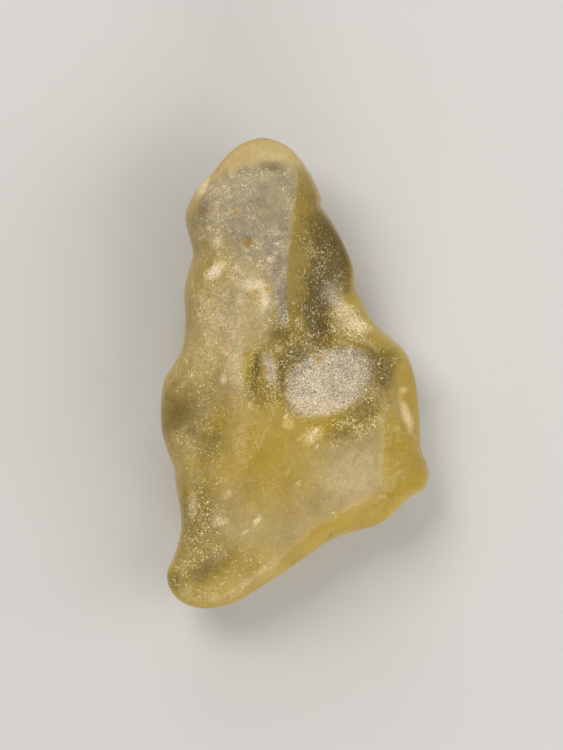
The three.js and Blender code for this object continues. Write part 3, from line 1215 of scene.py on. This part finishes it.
    def dress(self, lump: bpy.types.Object, finish: DesertGlassFinish) -> None:
        """Gives the lump its finish, and says that it stands for the glass's solid.

        Args:
            lump: The built lump.
            finish: What the glass looks like.
        """
        lump.data.materials.append(finish.material())
        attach(lump, "root")
        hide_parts("desert_glass")

    def _upper_looks(
        self, face_looks: Array, rim_distance: Array, covers: Sequence[Array]
    ) -> dict[Look, Array]:
        """Adds the marks to the looks of the faces, which fade out towards the rim.

        Args:
            face_looks: The looks of the upper side's faces.
            rim_distance: How far in from the rim each place lies.
            covers: How far each mark covers each place.

        Returns:
            Each look of the upper side, from 0 to 1.
        """
        looks = {look: np.zeros(rim_distance.shape) for look in Look}
        # The faces' looks fade out towards the rim, leaving a clear yellow edge as a painted glow of light
        # through the thin glass.
        for number, look in enumerate(FACE_LOOKS):
            looks[look] += face_looks[..., number] * smooth_step(0, self.clear_rim, rim_distance)
        for mark, cover in zip(self.marks, covers):
            looks[mark.look] += mark.amount * cover
        return {look: np.clip(values, 0, 1) for look, values in looks.items()}

    def _under_looks(self, plan: Array, rim_distance: Array) -> dict[Look, Array]:
        """Clouds the underside with frost and etched grain, which fade out towards the rim.

        Args:
            plan: Places in plan.
            rim_distance: How far in from the rim each place lies.

        Returns:
            Each look of the underside, from 0 to 1.
        """
        inside = smooth_step(0, self.clear_under_rim, rim_distance)
        cloud = self.under_clouds.at(plan)
        looks = {look: np.zeros(rim_distance.shape) for look in Look}
        looks[Look.FROST_AND_SHEEN] = self.under_frost * inside * smooth_step(*self.frost_clouds, cloud)
        looks[Look.GRAIN] = inside * smooth_step(*self.grain_clouds, cloud)
        looks[Look.SHADE] = self.under_shade * inside * smooth_step(*self.shade_clouds, cloud)
        return looks

    def _gathered(self, strips: int) -> Array:
        """Spaces fractions from 0 to 1 and draws them together towards both ends by a sine."""
        even = np.linspace(0, 1, strips + 1)
        return even - self.rim_gather * np.sin(TURN * even) / TURN

    def _triangles(self, ids: Array) -> Array:
        """Splits each cell of a grid along the diagonal that runs outwards, so none lies all on the rim.

        Args:
            ids: The grid's vertex numbers.

        Returns:
            Three vertex numbers for each triangle, facing up.
        """
        a, b, c, d = ids[:-1, :-1], ids[:-1, 1:], ids[1:, 1:], ids[1:, :-1]
        rows, columns = np.indices(a.shape)
        outwards = (rows < a.shape[0] / 2) == (columns < a.shape[1] / 2)
        first = np.dstack([a, b, np.where(outwards, c, d)])
        second = np.dstack([np.where(outwards, a, b), c, d])
        return np.concatenate([first.reshape(-1, 3), second.reshape(-1, 3)])


@dataclass
class StudioFloor:
    """A wide pale card that the lump lies on."""

    name: str = "studio_floor"
    half_width: float = 3000.0
    level: float = -0.2

    def build(self) -> bpy.types.Object:
        """Makes the card as one square, a hair below the ground so that glass and card never coincide.

        Returns:
            The floor, with no finish yet.
        """
        x, y = np.meshgrid([-self.half_width, self.half_width], [-self.half_width, self.half_width])
        corners = np.stack([x.ravel(), y.ravel(), np.full(x.size, self.level)], axis=-1)
        mesh = bpy.data.meshes.new(self.name)
        mesh.from_pydata(corners * MM, [], [(0, 1, 3, 2)])
        floor = bpy.data.objects.new(self.name, mesh)
        bpy.context.scene.collection.objects.link(floor)
        return floor

    def dress(self, floor: bpy.types.Object, finish: FloorFinish) -> None:
        """Gives the floor its finish."""
        floor.data.materials.append(finish.material())


@dataclass
class Softbox:
    """A square soft light that looks at the lump."""

    name: str
    at: tuple[float, float, float]
    width: float
    watts: float
    colour: tuple[float, float, float] = (1.0, 1.0, 1.0)

    def build(self) -> bpy.types.Object:
        """Places the light, turned to the middle of the lump.

        Returns:
            The light.
        """
        data = bpy.data.lights.new(self.name, "AREA")
        data.size = self.width * MM
        data.energy = self.watts
        data.color = self.colour
        light = bpy.data.objects.new(self.name, data)
        light.location = Vector(self.at) * MM
        light.rotation_euler = (-light.location).to_track_quat("-Z", "Y").to_euler()
        light.visible_camera = False
        bpy.context.scene.collection.objects.link(light)
        return light


@dataclass
class Studio:
    """Soft studio light: large softboxes and an even pale surround."""

    softboxes: Sequence[Softbox] = (
        Softbox("key_softbox", (-260, 300, 480), 320, 2.2, (1.0, 0.98, 0.95)),
        Softbox("fill_softbox", (380, -160, 380), 360, 0.9),
        Softbox("front_softbox", (60, -420, 150), 260, 1.1),
        Softbox("right_softbox", (430, 60, 220), 240, 0.6),
        Softbox("back_softbox", (-40, 430, 150), 240, 0.7),
    )
    surround: float = 0.26
    surround_tint: Tint = (1.0, 1.0, 1.0, 1.0)

    def build(self) -> None:
        """Places the softboxes and lights the surround."""
        for softbox in self.softboxes:
            softbox.build()
            LOG.info("light %s", softbox.name)
        world = bpy.data.worlds.new("studio_surround")
        world.use_nodes = True
        background = world.node_tree.nodes["Background"]
        background.inputs["Strength"].default_value = self.surround
        background.inputs["Color"].default_value = self.surround_tint
        bpy.context.scene.world = world
        bpy.context.scene.view_settings.view_transform = "Standard"


@dataclass
class OverheadCamera:
    """A camera straight above the lump, its top edge towards the narrow end."""

    name: str = "overhead_camera"
    look_at: tuple[float, float, float] = (-1.555, -0.116, 6.5)
    frame_height: float = 83.33
    lens: float = 180.0
    sensor: float = 36.0
    nearest: float = 10.0

    def build(self) -> bpy.types.Object:
        """Sets the distance at which the frame's height fills the sensor's long side.

        Returns:
            The camera.
        """
        data = bpy.data.cameras.new(self.name)
        data.lens = self.lens
        data.sensor_width = self.sensor
        data.clip_start = self.nearest * MM
        camera = bpy.data.objects.new(self.name, data)
        distance = self.frame_height * self.lens / self.sensor
        camera.location = (Vector(self.look_at) + Vector((0, 0, distance))) * MM
        bpy.context.scene.collection.objects.link(camera)
        bpy.context.scene.camera = camera
        return camera


def main() -> None:
    """Builds the camera, the lump, its floor and its light."""
    logging.basicConfig(level=logging.INFO, format="%(name)s: %(message)s")
    LOG.info("camera %s", OverheadCamera().build().name)
    glass = DesertGlass()
    lump = glass.build()
    glass.dress(lump, DesertGlassFinish())
    LOG.info("piece %s, %d triangles", lump.name, len(lump.data.polygons))
    floor = StudioFloor()
    card = floor.build()
    floor.dress(card, FloorFinish())
    LOG.info("stage %s", card.name)
    Studio().build()


if __name__ == "__main__":
    main()
